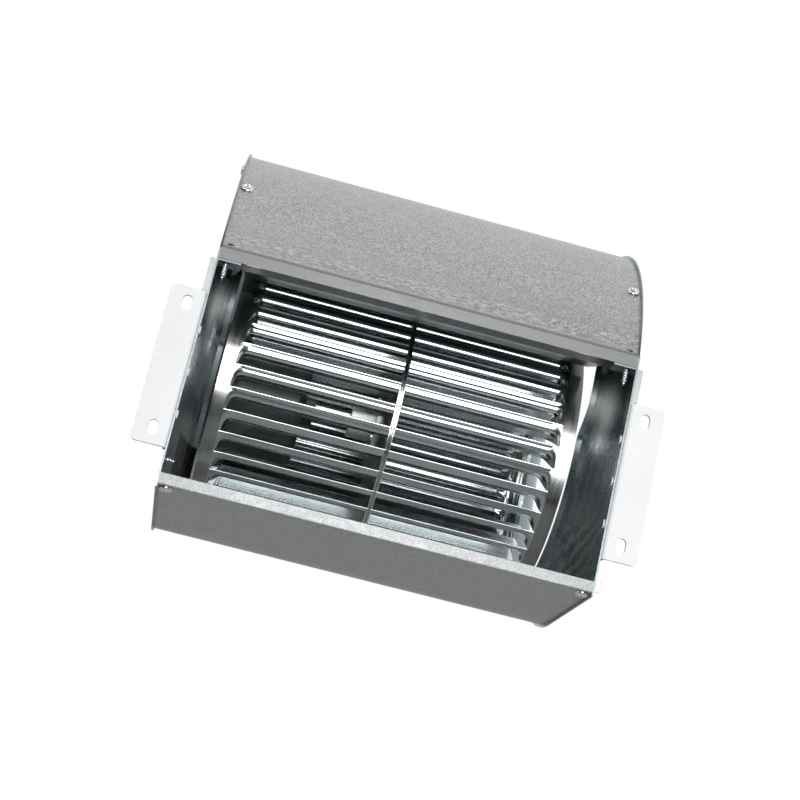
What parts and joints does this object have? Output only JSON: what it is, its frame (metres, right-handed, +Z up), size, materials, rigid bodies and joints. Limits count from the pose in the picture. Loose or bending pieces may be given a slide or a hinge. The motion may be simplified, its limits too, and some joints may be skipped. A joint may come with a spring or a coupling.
{
  "type": "centrifugal blower",
  "caption": "Double-inlet centrifugal blower of formed sheet steel: a scroll housing with a wide outlet, a forward-curved blade wheel and slotted side brackets.",
  "frame": {"origin": "middle of the outlet's lower edge, in the outlet's plane", "axes": "+X along the wheel's axis, away from the motor; +Y from the outlet into the housing; +Z up"},
  "size_m": [0.288, 0.2581, 0.249],
  "materials": {
    "housing_steel": "galvanised sheet, faint spangle",
    "cover_steel": "galvanised sheet, faint spangle",
    "bracket_steel": "bright galvanised sheet",
    "blade_strip": "bright rolled galvanised strip",
    "ring_steel": "rolled strip, slightly dull",
    "disc_steel": "pressed galvanised sheet",
    "hub_zinc": "turned and plated",
    "fastener_steel": "bright zinc plated",
    "motor_paint": "dark satin paint",
    "motor_cast": "die-cast, plain",
    "shaft_steel": "ground steel"
  },
  "bodies": {
    "housing": {"side_plate_left": "housing_steel", "side_plate_right": "housing_steel", "scroll_wrap": "housing_steel", "top_cover": "cover_steel", "cutoff_plate": "housing_steel", "mounting_bracket_left": "bracket_steel", "mounting_bracket_right": "bracket_steel", "clinch_joints": "bracket_steel", "motor_body": "motor_paint", "motor_end_cap": "motor_cast", "motor_spider": "housing_steel", "spider_foot_screws": "fastener_steel", "motor_screws": "fastener_steel", "cover_screws": "fastener_steel", "upper_corner_screws": "fastener_steel", "lower_corner_screws": "fastener_steel"},
    "wheel": {"blade_drum_left": "blade_strip", "blade_drum_right": "blade_strip", "end_ring_left": "ring_steel", "end_ring_right": "ring_steel", "centre_disc": "disc_steel", "hub": "hub_zinc", "hub_set_screw": "fastener_steel", "hub_rivets": "fastener_steel", "motor_shaft": "shaft_steel"}
  },
  "joints": [
    {"name": "wheel_spin", "type": "hinge", "parent": "housing", "child": "wheel", "pos_m": [0, 0.14, 0.093], "axis": [1, 0, 0], "continuous": true}
  ]
}
